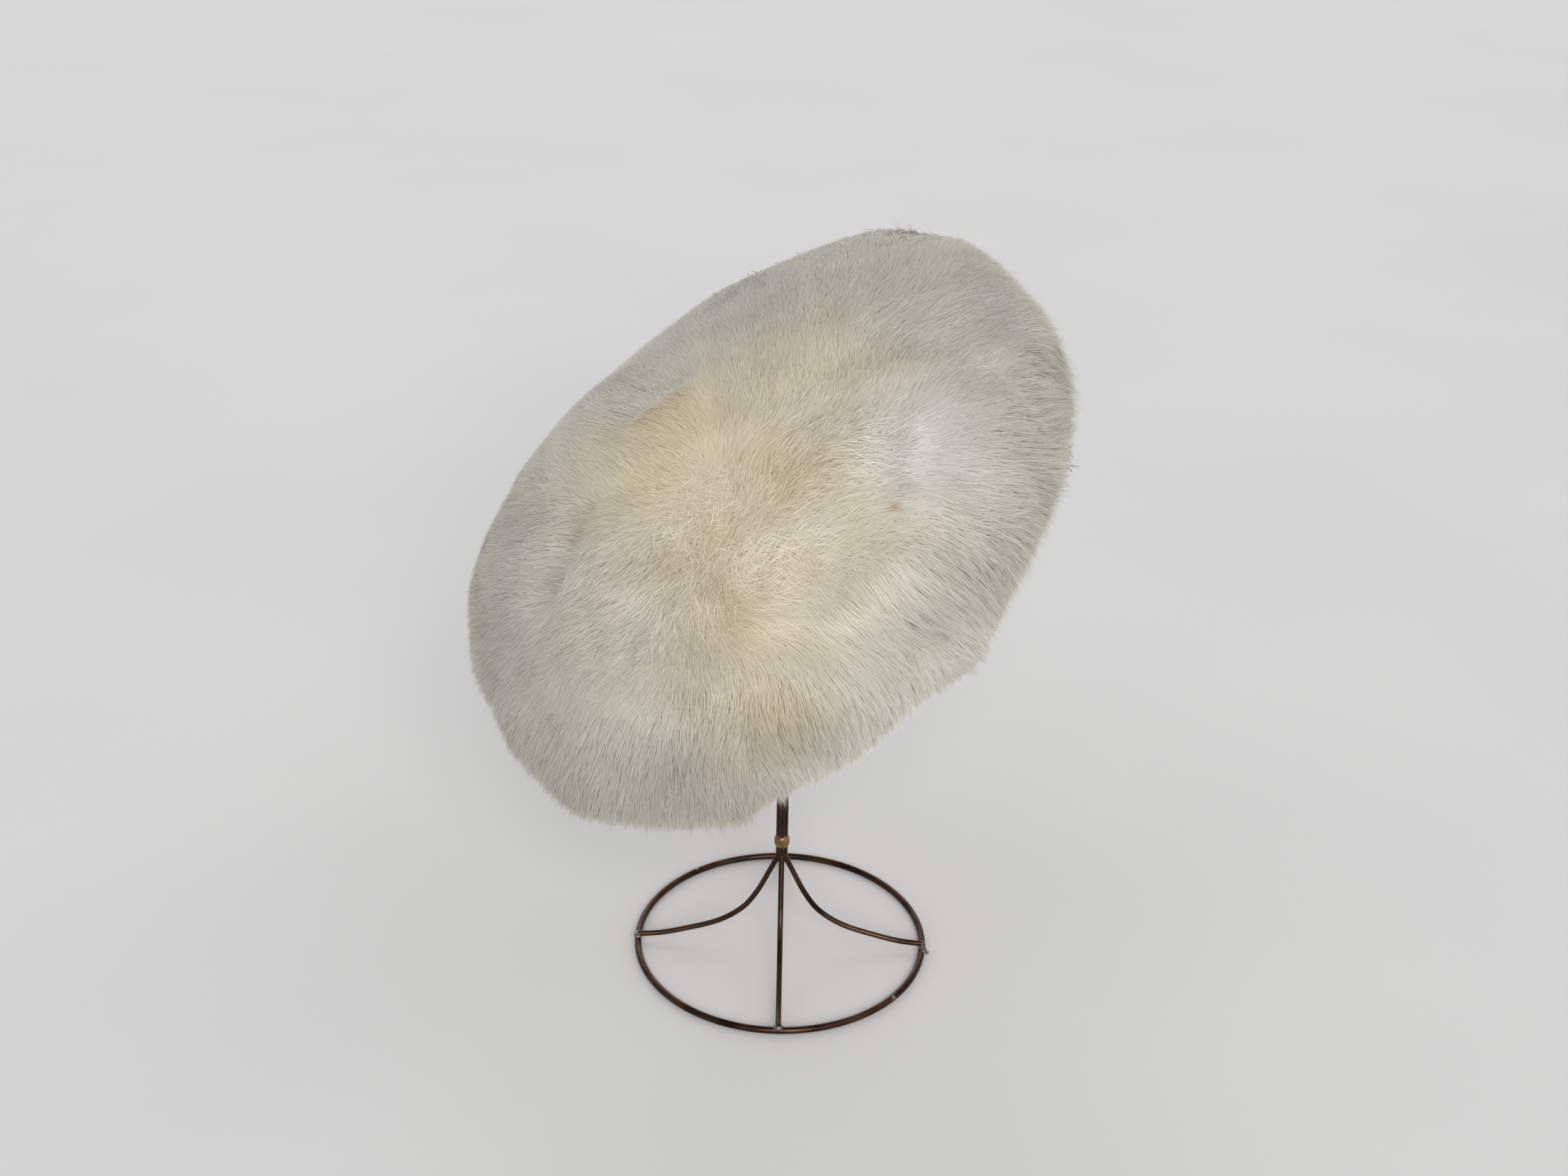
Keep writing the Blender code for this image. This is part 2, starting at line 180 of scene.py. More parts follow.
# The skin's own waves: how long they are, and how high on the crown and how much more on the band
WAVES = (
    # length, on the crown, more on the band, seed
    (60 * MM, 0.9 * MM, 0.9 * MM, 5),
    (24 * MM, 0.4 * MM, 0.7 * MM, 6),
)
SKIN_SINK, SLOPE_STEP = 1.0 * MM, 4 * MM

# A hair's lean off the skin's normal: less in locks, more low down and where the wool divides
HAIR_LEAN, LOCKS_LEAN, LOW_LEAN, DIVIDE_LEAN = 1.20, 0.50, 0.10, 0.45
SWAY, FINE_SWAY = 0.09, 0.08
MESS, FELT_MESS = 0.12, 0.14
# How a hair bends on its way to the tip: along the comb, down in the world, and at random
BEND, LOW_BEND, DROOP, LOCKS_DROOP, SWAY_BEND = 0.10, 0.20, 0.06, 0.16, 0.10
UNEVEN, LOCKS_UNEVEN, MOST_UNEVEN = 0.07, 0.06, 0.2
# Strays stand up out of the coat
STRAYS, STRAY_RISE, STRAY_LENGTH = 0.14, 0.6, 3 * MM
# Tufts draw together, most in locks, and in locks each tuft has a length of its own
DRAW, LOCKS_DRAW, FELT_DRAW, TUFT_LENGTH = 0.4, 0.8, 0.25, 0.26
BLADE_ROLL = 0.22
TONE_SPREAD, LOCKS_TONE, FELT_TONE = 0.06, 0.06, 0.02
KITE = ((0.0, 0.55, 1.0), (0, 1, 0))  # steps along a hair, and shares of its width
STRAND = ((0.0, 0.4, 0.75, 1.0), (0.7, 1, 0.7, 0))

# The stand, as in the CAD
RING_RADIUS, RING_WIRE, LEG_WIRE = 70 * MM, 3.2 * MM, 2.6 * MM
LEG_TURNS = (-5, 90, 182, 270)
SOLDER, STEM_HEIGHT, STEM_SPREAD = 0.4 * MM, 177 * MM, 1.5 * MM
COLLAR_HEIGHT, COLLAR_LENGTH, COLLAR_RADIUS = 58 * MM, 7 * MM, 3.6 * MM
LEG_PATH = ((0.84, 0.066), (0.70, 0.092), (0.44, 0.165), (0.27, 0.27), (0.17, 0.40), (0.09, 0.56))
LEG_JOIN, LEG_STRAIGHT, STEM_TOP = 0.72, 0.82, STEM_HEIGHT - 1 * MM
COLLAR_SWELL = (0.6, 0.86, 0.96, 1.0, 1.0, 1.0, 0.95, 0.84, 0.58)

# Solder: turn round the stem in degrees, distance out, height, size
LEG_END = RING_RADIUS - RING_WIRE / 2
LEG_LEVEL = RING_WIRE + LEG_WIRE / 2 - SOLDER
BEADS = (
    # turn, out, up, size
    *((turn, LEG_END + 0.2 * MM, LEG_LEVEL - 0.7 * MM, 2.0 * MM) for turn in LEG_TURNS),
    (LEG_TURNS[0] - 2, LEG_END + 0.6 * MM, RING_WIRE / 2 + 0.6 * MM, 2.1 * MM),
    (LEG_TURNS[0] - 3, LEG_END + 2.9 * MM, RING_WIRE / 2 + 0.2 * MM, 0.9 * MM),
    (129, LEG_END, RING_WIRE / 2 + 0.3 * MM, 1.7 * MM),
    (320, LEG_END + 0.3 * MM, RING_WIRE / 2 + 0.2 * MM, 1.6 * MM),
)

# The camera, worked out from the ring's ellipse in the photograph
LENS, SENSOR = 43.94, 36
EYE_BACK, EYE_UP = 749 * MM, 569 * MM
PITCH, YAW, ROLL = -26.8, -0.1, 1.1


def box_middle(node):
    low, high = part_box(node)
    return (Vector(low) + Vector(high)) / 2


def hat_matrix():
    turn = (
        Matrix.Rotation(math.radians(LEAN_TO), 3, "Z")
        @ Matrix.Rotation(math.radians(LEAN), 3, "Y")
        @ Matrix.Rotation(math.radians(TURN), 3, "Z")
    )
    rim = box_middle("band_pelt") - turn @ Vector((0, 0, BAND_HEIGHT / 2))
    return turn, rim


HAT_TURN, HAT_RIM = hat_matrix()
TURN_ROWS = np.array(HAT_TURN)
RIM_ROW = np.array(HAT_RIM)
STAND = Vector((box_middle("stand_base").x, box_middle("stand_base").y, 0))


# Numbers


def smooth_table(rows, per=24):
    """A fine line through the rows, by Catmull and Rom's curve."""
    p = np.array(rows, float)
    p = np.vstack([2 * p[0] - p[1], p, 2 * p[-1] - p[-2]])
    fine = []
    for a, b, c, d in zip(p, p[1:], p[2:], p[3:]):
        t = np.arange(per)[:, None] / per
        square = (2 * a - 5 * b + 4 * c - d) * t**2
        cube = (3 * b - a - 3 * c + d) * t**3
        fine.append(0.5 * (2 * b + (c - a) * t + square + cube))
    fine.append(p[-2][None])
    return np.vstack(fine)


LINE = smooth_table(OUTLINE)
LINE_STEPS = np.diff(LINE * [FULL_HEIGHT, (REACH_X + REACH_Y) / 2], axis=0)
LINE_RUN = np.concatenate([[0], np.cumsum(np.hypot(*LINE_STEPS.T))])
RUN = LINE_RUN[-1]
LINE_UP = np.gradient(LINE[:, 0] * FULL_HEIGHT, LINE_RUN)
LINE_OUT = np.gradient(LINE[:, 1] * (REACH_X + REACH_Y) / 2, LINE_RUN)


def along_line(s):
    """Height share, reach share and the line's direction, up and out, at a share s of its run."""
    at = s * RUN
    height = np.interp(at, LINE_RUN, LINE[:, 0])
    reach = np.interp(at, LINE_RUN, LINE[:, 1])
    up = np.interp(at, LINE_RUN, LINE_UP)
    out = np.interp(at, LINE_RUN, LINE_OUT)
    size = np.hypot(up, out)
    return height, reach, up / size, out / size


SEAM_S = float(np.interp(SEAM_AT, LINE[:, 0], LINE_RUN) / RUN)


def waves(places, scale, seed, count=9):
    """A smooth uneven field from -1 to 1 over the places, with features about scale wide."""
    made = np.random.default_rng(seed)
    total = np.zeros(len(places))
    for _ in range(count):
        way = made.normal(size=3)
        way *= made.uniform(0.6, 1.6) * 2 * math.pi / scale / np.linalg.norm(way) / 2
        total += np.sin(places @ way + made.uniform(0, 2 * math.pi))
    return total / math.sqrt(count)


def unit(v):
    return v / np.maximum(np.linalg.norm(v, axis=-1, keepdims=True), 1e-12)


def blur_step(value, low, high):
    t = np.clip((value - low) / (high - low), 0, 1)
    return t * t * (3 - 2 * t)


def turned(turn, at):
    """How far a turn in radians is from one in degrees, in degrees."""
    return (np.degrees(turn) - at + 180) % 360 - 180


# The wool's skin


def forms(place, normal):
    """How deep the wool is parted, in metres, and which way that leans the hairs."""
    depth, push = np.zeros(len(place)), np.zeros_like(place)
    for start, end, width, deep, lean in FORMS:
        start, end = np.array(start) * MM, np.array(end) * MM
        run = end - start
        share = np.clip((place - start) @ run / (run @ run), 0, 1)
        away = place - start - share[:, None] * run
        near = np.linalg.norm(away, axis=1) < 3 * width * MM
        away -= normal * (away * normal).sum(1, keepdims=True)
        far = np.linalg.norm(away, axis=1) / (width * MM)
        depth += np.where(near, deep * MM * np.exp(-(far**2)), 0)
        push += away / (width * MM) * np.where(near, lean * np.exp(-((far / 1.5) ** 2)), 0)[:, None]
    return depth, push


def rubbed(turn, height):
    """How far rubbing lifts the low fur and tucks it in, and the share of its length that it leaves."""
    lifted, tucked, left = 0, 0, 1
    for at, spread, lift, tuck, top in RUBBED:
        short = np.exp(-(np.abs(turned(turn, at) / spread) ** 3))
        here = lift * short * np.clip(1 - height / top, 0, 1)
        lifted = lifted + here * FUR_HANG
        tucked = tucked + tuck * short * np.clip(1 - height / (top + 0.25), 0, 1)
        left = left - (1 - RUBBED_COAT) * here
    return lifted, tucked, left


def combed(place, normal, down_line, wild):
    """Which way the wool lies: away from where it divides and down the outline, and near there aside."""
    away = place - np.array(DIVIDE) * MM
    far = np.linalg.norm(away, axis=1, keepdims=True)
    away -= normal * (away * normal).sum(1, keepdims=True)
    wild = unit(wild - normal * (wild * normal).sum(1, keepdims=True))
    sure = 1 - np.exp(-((far / DIVIDE_RADIUS) ** 2))
    aside = np.array(ASIDE) @ TURN_ROWS
    aside = aside - normal * (normal @ aside)[:, None]
    outward = unit(unit(away) + DOWNWARD * down_line) * sure
    return unit(outward + aside * (ASIDE_PULL - ASIDE_PULL * sure) + wild * (WILD - WILD_LOST * sure))


def relief(place, normal, band):
    """How far the skin rises over the plain outline, and the lean at partings."""
    uneven = 0
    for length, on_crown, more_on_band, seed in WAVES:
        uneven = uneven + (on_crown + more_on_band * band) * waves(place, length, seed)
    depth, push = forms(place, normal)
    return uneven - depth - SKIN_SINK, push


def skin(turn, s, wild=(0, 0, 1.0)):
    """The tips' place, normal and comb in the hat's frame, the lean at partings, and the height share."""
    height, reach, up, out = along_line(s)
    lifted, tucked, _ = rubbed(turn, height)
    reach = reach * (1 - tucked)
    z = height * FULL_HEIGHT - FUR_HANG + lifted
    x, y = reach * REACH_X * np.cos(turn), reach * REACH_Y * np.sin(turn)
    place = np.stack([x, y, z], -1)
    radial = unit(np.stack([np.cos(turn) / REACH_X, np.sin(turn) / REACH_Y, 0 * turn], -1))
    rise = np.array([0, 0, 1.0])
    normal = radial * up[:, None] - rise * out[:, None]
    comb = combed(place, normal, -(radial * out[:, None] + rise * up[:, None]), np.array(wild))
    band = 1 - blur_step(s, SEAM_S - 0.1, SEAM_S + 0.1)
    here, push = relief(place, normal, band)
    ahead, _ = relief(place + comb * SLOPE_STEP, normal, band)
    comb = comb + normal * ((ahead - here) / SLOPE_STEP)[:, None]
    return place + normal * here[:, None], normal, comb, push, height


def coat(turn, s, height):
    """How deep the matted wool lies under the tips, and how far the fur is locks or felt, from 0 to 1."""
    locks = np.zeros_like(turn)
    for at, spread, level, span, strength in LOCKS:
        away = turned(turn, at) / spread
        locks = np.maximum(locks, strength * np.exp(-(away**2) - ((height - level) / span) ** 2))
    crown = blur_step(s, SEAM_S - 0.12, SEAM_S + 0.06)
    low = 1 - blur_step(height, 0.0, 0.25)
    locks = np.maximum(locks * (1 - crown), 0.8 * low)
    band_depth = BAND_COAT + (LOCK_COAT - BAND_COAT) * locks
    band_depth = (band_depth + (RIM_COAT - band_depth) * low) * rubbed(turn, height)[2]
    return band_depth * (1 - crown) + CROWN_COAT * crown, locks, crown


def clear_of_pelt(places):
    """Moves places out of the pelt, straight out from the hat's middle."""
    share = np.hypot(places[:, 0] / HALF_LENGTH, places[:, 1] / HALF_WIDTH)
    beside = places[:, 2] < BAND_HEIGHT + CROWN_RISE
    out = np.where(beside & (share < PELT_CLEAR), PELT_CLEAR / np.maximum(share, 0.1), 1)
    return places * np.stack([out, out, np.ones_like(out)], -1)


def spots(places, table):
    total = np.zeros(len(places))
    for x, y, z, radius, strength in table:
        away = np.linalg.norm(places - np.array([x, y, z]) * MM, axis=1) / (radius * MM)
        total += strength * np.exp(-(away**2) * 1.2)
    return total


def yellowing(places):
    """From 0, white, to 1, for places in the hat's frame."""
    patch = 0.5 + 0.5 * waves(places, 22 * MM, 11)
    return np.clip(spots(places, YELLOWED) * (0.85 + 0.25 * patch) + 0.06 * patch, 0, 1)


def painted_light_and_tone(places):
    """The wool's tone before each hair's own, from 0, grey, to 1, clean white: a low grey base that is
    painted shade for the edges turned from the light, the spots' painted light and shade and whiter wool, and
    uneven tone of its own.
    """
    return 0.11 + spots(places, LIGHT_SHADE_AND_TONE) + 0.05 * waves(places, 14 * MM, 51)


def speckling(places):
    total = np.zeros(len(places))
    for x, y, z, radius in SPECKS:
        away = np.linalg.norm(places - np.array([x, y, z]) * MM, axis=1) / (radius * MM)
        total = np.maximum(total, np.exp(-(away**2)))
    return total


def to_world(places):
    return places @ TURN_ROWS.T + RIM_ROW


# Materials

# A tone from 0 to 1 and its colour. The grey low tones carry painted shade.
CLEAN_WOOL = ((0.0, (0.50, 0.488, 0.43)), (0.5, (0.74, 0.73, 0.67)), (1.0, (0.95, 0.94, 0.905)))
YELLOW_WOOL = ((0.0, (0.52, 0.42, 0.26)), (0.5, (0.76, 0.65, 0.44)), (1.0, (0.95, 0.86, 0.67)))
# The roots' tint, darker and warmer, is painted shade deep in the coat
ROOT_SHADE_TINT, SPECK_COLOUR = (0.88, 0.81, 0.70), (0.66, 0.36, 0.15)
LEATHER, LEATHER_DARK, LEATHER_GRAIN = (0.66, 0.56, 0.42), (0.50, 0.39, 0.27), (0.9, 0.85, 0.75)
# Metals: dark colour, bright colour, least roughness, scale of the wear
METALS = {
    "bronzed_wire": ((0.024, 0.015, 0.012), (0.085, 0.048, 0.030), 0.22, 60),
    "dull_brass": ((0.14, 0.085, 0.035), (0.34, 0.22, 0.10), 0.32, 160),
    "solder": ((0.10, 0.085, 0.07), (0.36, 0.32, 0.27), 0.30, 300),
}
FLOOR_TONES = ((0.3, (0.73, 0.73, 0.73)), (0.7, (0.76, 0.76, 0.755)))


def shader_tree(name):
    made = bpy.data.materials.new(name)
    made.use_nodes = True
    tree = made.node_tree
    return made, tree, tree.nodes["Principled BSDF"]


def put(tree, kind, **values):
    node = tree.nodes.new(kind)
    for key, value in values.items():
        if key in node.inputs:
            node.inputs[key].default_value = value
        else:
            setattr(node, key, value)
    return node


def attribute(tree, name):
    return put(tree, "ShaderNodeAttribute", attribute_name=name).outputs["Fac"]


def ramp(tree, fac, stops):
    node = put(tree, "ShaderNodeValToRGB")
    while len(node.color_ramp.elements) < len(stops):
        node.color_ramp.elements.new(0.5)
    for element, (at, colour) in zip(node.color_ramp.elements, stops):
        element.position = at
        element.color = (*colour, 1)
    tree.links.new(fac, node.inputs["Fac"])
    return node.outputs["Color"]


def mix(tree, fac, a, b, way="MIX"):
    node = put(tree, "ShaderNodeMix", data_type="RGBA", blend_type=way)
    for socket, value in ((node.inputs[0], fac), (node.inputs[6], a), (node.inputs[7], b)):
        if isinstance(value, bpy.types.NodeSocket):
            tree.links.new(value, socket)
        else:
            socket.default_value = value if isinstance(value, (int, float)) else (*value, 1)
    return node.outputs[2]


def noise(tree, scale, detail=3.0, where="Object"):
    place = put(tree, "ShaderNodeTexCoord").outputs[where]
    node = put(tree, "ShaderNodeTexNoise", Scale=scale, Detail=detail)
    tree.links.new(place, node.inputs["Vector"])
    return node.outputs["Fac"]


def bump(tree, shader, height, strength, distance):
    node = put(tree, "ShaderNodeBump", Strength=strength, Distance=distance)
    tree.links.new(height, node.inputs["Height"])
    tree.links.new(node.outputs["Normal"], shader.inputs["Normal"])


def wool_material(name):
    """White wool that yellows where the attribute says, follows the painted light and shade that its tone
    carries, is darker and warmer deeper down as painted shade, and has each hair a little different.
    """
    made, tree, shader = shader_tree(name)
    # the tone carries painted light and shade with the wool's own tone
    tone_with_painted_light = attribute(tree, "tone_with_painted_light")
    clean = ramp(tree, tone_with_painted_light, CLEAN_WOOL)
    yellow = ramp(tree, tone_with_painted_light, YELLOW_WOOL)
    coat_colour = mix(tree, attribute(tree, "yellow"), clean, yellow)
    # Painted shade: the colour darkens and warms towards the roots and in the matted wool
    root = mix(tree, 1.0, coat_colour, ROOT_SHADE_TINT, "MULTIPLY")
    coat_colour = mix(tree, attribute(tree, "deep"), coat_colour, root)
    coat_colour = mix(tree, attribute(tree, "speck"), coat_colour, SPECK_COLOUR)
    tree.links.new(coat_colour, shader.inputs["Base Color"])
    shader.inputs["Roughness"].default_value = 0.7
    shader.inputs["Specular IOR Level"].default_value = 0.2
    return made


def leather_material(name):
    made, tree, shader = shader_tree(name)
    hide = mix(tree, noise(tree, 45, 5), LEATHER_DARK, LEATHER)
    grained = mix(tree, noise(tree, 900, 4), hide, LEATHER_GRAIN, "SOFT_LIGHT")
    tree.links.new(grained, shader.inputs["Base Color"])
    shader.inputs["Roughness"].default_value = 0.85
    bump(tree, shader, noise(tree, 1400, 5), 0.5, 0.0004)
    return made


def metal_material(name):
    dark, bright, rough, scale = METALS[name]
    made, tree, shader = shader_tree(name)
    worn = ramp(tree, noise(tree, scale, 6), [(0.35, dark), (0.62, bright)])
    tree.links.new(worn, shader.inputs["Base Color"])
    shader.inputs["Metallic"].default_value = 1.0
    tint = put(tree, "ShaderNodeMapRange")
    tint.inputs["To Min"].default_value = rough
    tint.inputs["To Max"].default_value = rough + 0.2
    tree.links.new(noise(tree, 700, 4), tint.inputs["Value"])
    tree.links.new(tint.outputs["Result"], shader.inputs["Roughness"])
    bump(tree, shader, noise(tree, 1500, 3), 0.25, 0.0002)
    return made


# Wool pieces


def add_attribute(mesh, name, values):
    made = mesh.attributes.new(name, "FLOAT", "POINT")
    made.data.foreach_set("value", np.ascontiguousarray(values, np.float32))


def mesh_from(name, places, faces_start, corners):
    mesh = bpy.data.meshes.new(name)
    mesh.vertices.add(len(places))
    mesh.vertices.foreach_set("co", np.ascontiguousarray(places, np.float32).ravel())
    mesh.loops.add(len(corners))
    mesh.loops.foreach_set("vertex_index", np.ascontiguousarray(corners, np.int32))
    mesh.polygons.add(len(faces_start))
    mesh.polygons.foreach_set("loop_start", np.ascontiguousarray(faces_start, np.int32))
    mesh.update(calc_edges=True)
    return mesh


def add_piece(name, mesh, material, node=None):
    made = bpy.data.objects.new(name, mesh)
    bpy.context.scene.collection.objects.link(made)
    mesh.materials.append(material)
    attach(made, "root")
    if node:
        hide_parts(node)
    return made


def under_rings(low, high, columns, rows, back):
    """Rings of points, up the skin of the matted wool and then along its backing."""
    turns = np.arange(columns) * 2 * math.pi / columns
    grid_s, grid_t = np.meshgrid(np.linspace(low, high, rows), turns, indexing="ij")
    place, normal, _, _, height = skin(grid_t.ravel(), grid_s.ravel())
    depth, locks, _ = coat(grid_t.ravel(), grid_s.ravel(), height)
    rough = (COAT_ROUGH + LOCKS_ROUGH * locks) * waves(place, 9 * MM, 21, 14) - COAT_SINK
    place = clear_of_pelt(place + normal * (rough - depth)[:, None])
    rings = [place.reshape(rows, columns, 3)]
    cosines, sines = np.cos(turns), np.sin(turns)
    for inset, z in back:
        a, b = HALF_LENGTH - inset, HALF_WIDTH - inset
        lifted = BACK_LIFT * rubbed(turns, 0)[0] if z < 0 else 0
        rings.append(np.stack([a * cosines, b * sines, z + lifted + 0 * turns], -1)[None])
    return np.concatenate(rings)


def ring_quads(lower, upper):
    """Faces between rows of points and the rows over them, all the way round."""
    return np.stack([lower, np.roll(lower, -1, axis=1), np.roll(upper, -1, axis=1), upper], -1).reshape(-1, 4)


def ring_fan(row, tip):
    return np.stack([row, np.roll(row, -1), np.full(len(row), tip)], -1)


def under_wool(name, low, high, columns, rows, back, deep, material, slot, node):
    """The matted wool under the hairs' tips: a closed skin round its backing."""
    rings = under_rings(low, high, columns, rows, back)
    index = np.arange(len(rings) * columns).reshape(len(rings), columns)
    places = rings.reshape(-1, 3)
    if node == "band_fleece":
        quads = ring_quads(index, np.roll(index, -1, axis=0))
        corners = quads.ravel()
        starts = np.arange(len(quads)) * 4
    else:
        # The outline's end and the back's last ring are drawn to a point, and their other ends meet.
        outer, inner = index[:rows], index[rows:]
        back_tip, pole = len(places), len(places) + 1
        places = np.vstack([places, rings[-1].mean(0), rings[rows - 1].mean(0)])
        joint = ring_quads(outer[:1], inner[:1])[:, ::-1]
        quads = np.vstack([ring_quads(outer[:-1], outer[1:]), ring_quads(inner[:-1], inner[1:]), joint])
        fans = np.vstack([ring_fan(outer[-1], pole), ring_fan(inner[-1], back_tip)])
        corners = np.concatenate([quads.ravel(), fans.ravel()])
        starts = np.concatenate([np.arange(len(quads)) * 4, len(quads) * 4 + np.arange(len(fans)) * 3])
    mesh = mesh_from(name, to_world(places), starts, corners)
    tidy = bmesh.new()
    tidy.from_mesh(mesh)
    bmesh.ops.recalc_face_normals(tidy, faces=tidy.faces)
    tidy.to_mesh(mesh)
    tidy.free()
    mesh.shade_smooth()
    add_attribute(mesh, "yellow", yellowing(places))
    add_attribute(mesh, "speck", speckling(places))
    # Painted light and shade with the wool's own uneven tone
    add_attribute(mesh, "tone_with_painted_light", np.clip(painted_light_and_tone(places) + 0.06 * waves(places, 6 * MM, 31), 0, 1))
    # Painted shade: the matted wool takes part of the roots' tint
    add_attribute(mesh, "deep", np.full(len(places), deep))
    return add_piece(name, mesh, material, node)


def scatter(count, low, high, seed):
    """Turns and places along the outline, spread evenly over the fleece."""
    made = np.random.default_rng(seed)
    fine = np.linspace(low, high, 400)
    _, reach, _, _ = along_line(fine)
    share = np.cumsum(reach + 0.01)
    turns, ss = [], []
    while sum(map(len, turns)) < count:
        s = np.interp(made.uniform(share[0], share[-1], count), share, fine)
        turn = made.uniform(0, 2 * math.pi, count)
        stretch = np.hypot(REACH_X * np.sin(turn), REACH_Y * np.cos(turn)) / REACH_X
        keep = made.uniform(0, 1, count) < stretch
        turns.append(turn[keep])
        ss.append(s[keep])
    return np.concatenate(turns)[:count], np.concatenate(ss)[:count]


def clump(tips, spacing, seed):
    """For each tip, the tip that its tuft draws to. Tufts are about spacing wide."""
    made = np.random.default_rng(seed)
    cells = np.unique(np.floor(tips / spacing).astype(int), axis=0)
    heads = made.choice(len(tips), min(len(tips), 2 * len(cells)), replace=False)
    tree = KDTree(len(heads))
    for i, head in enumerate(heads):
        tree.insert(tips[head], i)
    tree.balance()
    nearest = np.array([tree.find(tip)[1] for tip in tips])
    return tips[heads][nearest], made.uniform(0.4, 1.4, len(heads))[nearest]


def blade_plan(shares):
    """One blade's rows of points, a pair or where it has no width a single one, and its faces."""
    rows, count = [], 0
    for share in shares:
        rows.append([count, count + 1] if share else [count])
        count += len(rows[-1])
    return rows, [low + high[::-1] for low, high in zip(rows, rows[1:])]


def hair_lines(turn, s, made, seed, spacing, pull, steps):
    """Points at the steps along each hair, its skin's place and normal, and how far it is locks or felt."""
    count = len(turn)
    place, normal, comb, push, height = skin(turn, s, made.normal(0, 1, (count, 3)))
    depth, locks, felt = coat(turn, s, height)
    low = 1 - blur_step(height, 0.0, 0.30)
    sway = np.stack([waves(place, 34 * MM, seed_of) for seed_of in (41, 42, 43)], -1)
    fine = np.stack([waves(place, 8 * MM, seed_of) for seed_of in (44, 45, 46)], -1)
    from_divide = np.linalg.norm(place - np.array(DIVIDE) * MM, axis=1) / DIVIDE_RADIUS
    lean = HAIR_LEAN - LOCKS_LEAN * locks + LOW_LEAN * low + DIVIDE_LEAN * np.exp(-(from_divide**2))
    stray = np.where(made.uniform(0, 1, count) < STRAYS, made.uniform(0.2, 1.0, count), 0) * (1 - 0.5 * felt)
    lean = lean * (1 - STRAY_RISE * stray)
    way = unit(
        normal
        + comb * lean[:, None]
        + push
        + SWAY * (1 + locks)[:, None] * sway
        + FINE_SWAY * fine
        + made.normal(0, 1, (count, 3)) * (MESS + FELT_MESS * felt)[:, None]
    )
    down = np.array([0, 0, -1.0]) @ TURN_ROWS
    along, droop = BEND + LOW_BEND * low, DROOP + LOCKS_DROOP * locks
    bend = comb * along[:, None] + down * droop[:, None] + SWAY_BEND * sway
    # The tips, not the roots, are spread evenly and end at the skin.
    length = np.minimum((depth + ROOT) / np.maximum(((way + bend) * normal).sum(1), 0.5), LONGEST)
    root = clear_of_pelt(place - (way + bend) * length[:, None])
    uneven = made.normal(0, 1, count) * (UNEVEN + LOCKS_UNEVEN * locks)
    length *= 1 + np.clip(uneven, -MOST_UNEVEN, MOST_UNEVEN)
    length += STRAY_LENGTH * stray
    for at, spread, extra in TUFTS:
        length += extra * low * np.exp(-((turned(turn, at) / spread) ** 2))
    points = [root + (way * t + bend * t * t) * length[:, None] for t in steps]
    goal, strength = clump(points[-1], spacing, seed + 1)
    tuft = TUFT_LENGTH * (strength - 0.9)
    strength = strength * pull * (DRAW + LOCKS_DRAW * locks - FELT_DRAW * felt)
    draw = (goal - points[-1]) * strength[:, None] + (points[-1] - root) * (tuft * locks)[:, None]
    return [p + draw * t**1.5 for p, t in zip(points, steps)], place, normal, locks, felt


def hairs(name, turn, s, seed, shape, material, node):
    """Thin bent blades on the matted wool. shape: width, tufts' spacing and pull, plan of the blade."""
    width, spacing, pull, (steps, shares) = shape
    made = np.random.default_rng(seed)
    count = len(turn)
    points, place, normal, locks, felt = hair_lines(turn, s, made, seed, spacing, pull, steps)
    axis = unit(points[-1] - points[0])
    side = unit(np.cross(axis, unit(normal + made.normal(0, BLADE_ROLL, (count, 3)))))
    half = side * (width * made.uniform(0.6, 1.25, count))[:, None] / 2
    rows, faces = blade_plan(shares)
    edge, grow = [], []
    for p, t, share in zip(points, steps, shares):
        edge += [p - half * share, p + half * share] if share else [p]
        grow += [t, t] if share else [t]
    per = len(edge)
    places = np.stack(edge, 1).reshape(-1, 3)
    first = np.arange(count)[:, None]
    corners = first * per + np.concatenate([np.array(f) for f in faces])
    sizes = [len(f) for f in faces]
    starts = first * sum(sizes) + np.concatenate([[0], np.cumsum(sizes)[:-1]])
    mesh = mesh_from(name, to_world(places), starts.ravel(), corners.ravel())
    spread = TONE_SPREAD + LOCKS_TONE * locks - FELT_TONE * felt
    # Painted light and shade from the spots, with each hair's own tone
    tone_with_painted_light = np.clip(painted_light_and_tone(place) + made.normal(0, 1, count) * spread, 0, 1)
    # Painted shade: darker towards the roots, less in felt
    deep = np.clip(0.8 - np.array(grow), 0, 1) * (1 - 0.5 * felt)[:, None]
    add_attribute(mesh, "yellow", np.repeat(yellowing(place), per))
    add_attribute(mesh, "speck", np.repeat(speckling(place), per))
    add_attribute(mesh, "tone_with_painted_light", np.repeat(tone_with_painted_light, per))
    add_attribute(mesh, "deep", deep.ravel())
    chart(mesh, count, rows)
    return add_piece(name, mesh, material, node)


def chart(mesh, count, rows):
    """Gives each blade a cell of its own on the map that its colours are baked to."""
    side = math.ceil(math.sqrt(count))
    cell = np.arange(count)
    low = np.stack([cell % side, cell // side], -1) / side
    marks = []
    for row, level in zip(rows, np.linspace(0.12, 0.88, len(rows))):
        marks += [(0.15, level), (0.85, level)] if len(row) == 2 else [(0.5, level)]
    marks = (low[:, None] + np.array(marks)[None] / side).reshape(-1, 2)
    corners = np.empty(len(mesh.loops), np.int32)
    mesh.loops.foreach_get("vertex_index", corners)
    layer = mesh.uv_layers.new(name="OFBake")
    layer.uv.foreach_set("vector", marks[corners].astype(np.float32).ravel())


